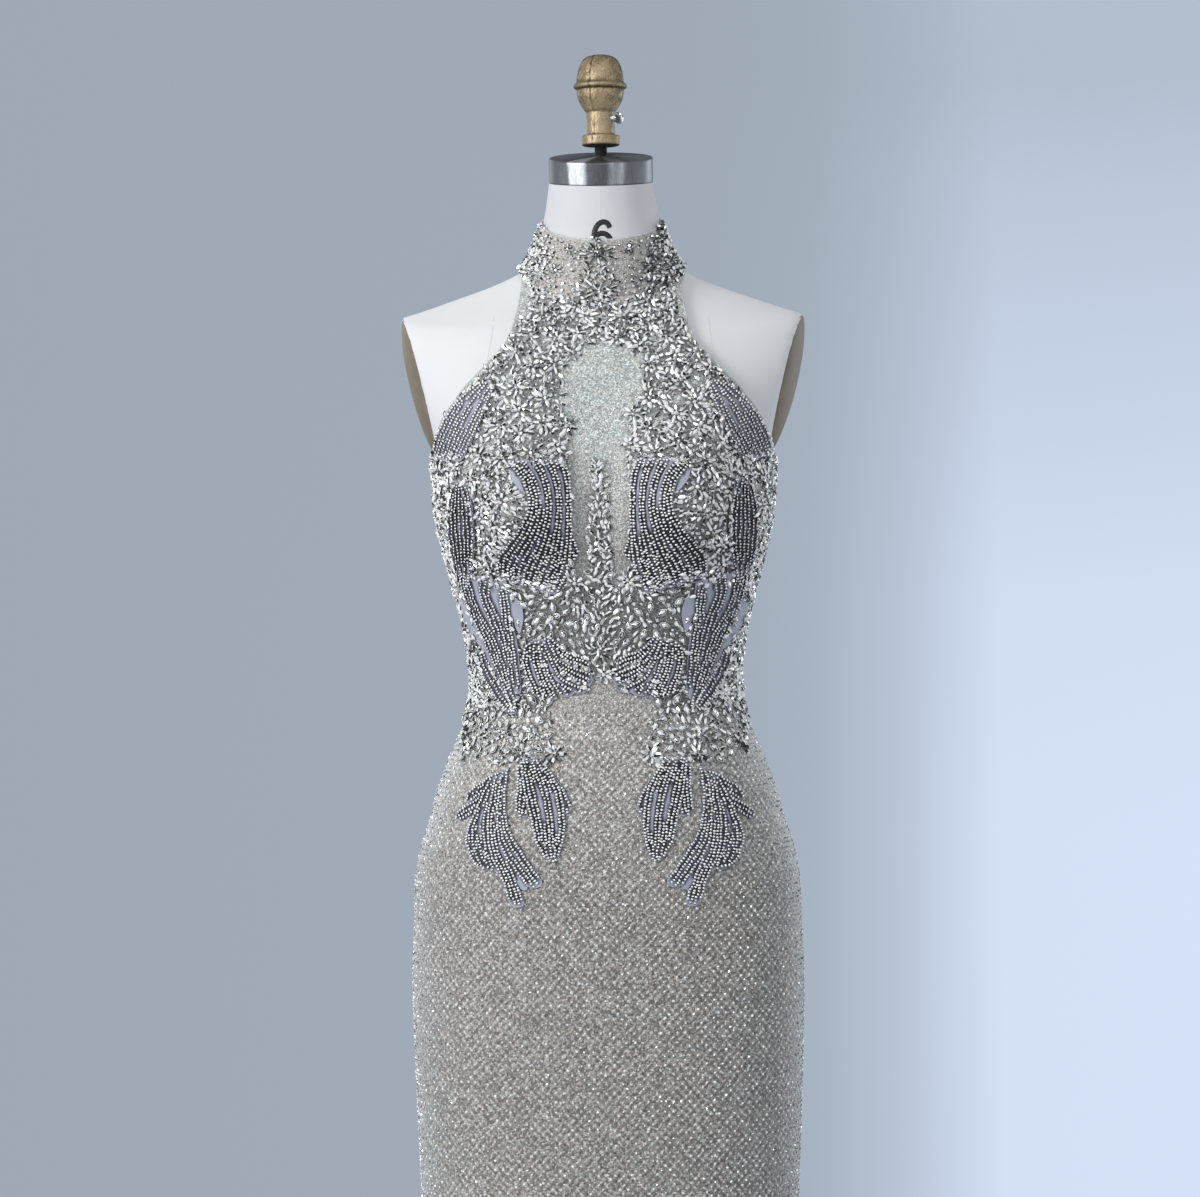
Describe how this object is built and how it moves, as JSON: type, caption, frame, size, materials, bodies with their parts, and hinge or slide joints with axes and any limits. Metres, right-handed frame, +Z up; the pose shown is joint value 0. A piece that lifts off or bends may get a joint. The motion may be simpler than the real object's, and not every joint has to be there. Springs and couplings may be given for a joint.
{
  "type": "evening gown on a dress form",
  "caption": "Fitted halter-neck gown with a high beaded collar, leaf appliques and a skirt that flares below the knee, on a limbless dress form with a round base.",
  "frame": {"origin": "on the floor, under the middle of the stand base and of the hem", "axes": "+Z up, the front of the gown faces -Y, +X is on the right as the front is seen"},
  "size_m": [0.6064, 0.5276, 1.6565],
  "materials": {
    "skirt_net": "beige-grey net, covered in small silver beads",
    "bodice_net": "pale grey net, covered in small silver beads",
    "bead_leaf": "lavender-grey ground with rows of gunmetal-silver beads",
    "crystal": "clear foiled crystals sewn close together",
    "zip": "woven grey zip tape",
    "zip_metal": "polished nickel",
    "form_cover": "white cotton cover, smooth, with fine seams",
    "arm_plate": "satin brown",
    "neck_cap": "brushed around",
    "neck_knob": "rough cast, gold with dark brown in the hollows",
    "post": "satin black",
    "screw": "polished",
    "stand": "satin black powder coat"
  },
  "bodies": {
    "gown_and_form": {"bodice_front": "bodice_net", "bodice_back_left": "bodice_net", "bodice_back_right": "bodice_net", "collar": "crystal", "skirt_front": "skirt_net", "skirt_back_left": "skirt_net", "skirt_back_right": "skirt_net", "leaf_armhole_left": "bead_leaf", "leaf_armhole_right": "bead_leaf", "leaf_bust_inner_left": "bead_leaf", "leaf_bust_inner_right": "bead_leaf", "leaf_bust_outer_left": "bead_leaf", "leaf_bust_outer_right": "bead_leaf", "leaf_waist_long_left": "bead_leaf", "leaf_waist_long_right": "bead_leaf", "leaf_waist_side_left": "bead_leaf", "leaf_waist_side_right": "bead_leaf", "leaf_waist_fan_left": "bead_leaf", "leaf_waist_fan_right": "bead_leaf", "leaf_hip_outer_left": "bead_leaf", "leaf_hip_outer_right": "bead_leaf", "leaf_hip_inner_left": "bead_leaf", "leaf_hip_inner_right": "bead_leaf", "spray_hip_left": "crystal", "spray_hip_right": "crystal", "zip_tape": "zip", "zip_slider": "zip_metal", "form_torso": "form_cover", "arm_plate_left": "arm_plate", "arm_plate_right": "arm_plate", "neck_cap": "neck_cap", "neck_post": "post", "neck_knob": "neck_knob", "stand_pole": "stand", "stand_base": "stand"},
    "zip_pull_tab": {"zip_pull": "zip_metal"},
    "clamp_screw": {"thumb_screw": "screw"}
  },
  "joints": [
    {"name": "zip_pull_swing", "type": "hinge", "parent": "gown_and_form", "child": "zip_pull_tab", "pos_m": [0, 0.06624, 1.51549], "axis": [1, 0, 0], "range_deg": [0, 150]},
    {"name": "clamp_screw_turn", "type": "hinge", "parent": "gown_and_form", "child": "clamp_screw", "pos_m": [0, 0, 1.598], "axis": [0.8192, -0.5736, 0], "continuous": true}
  ]
}
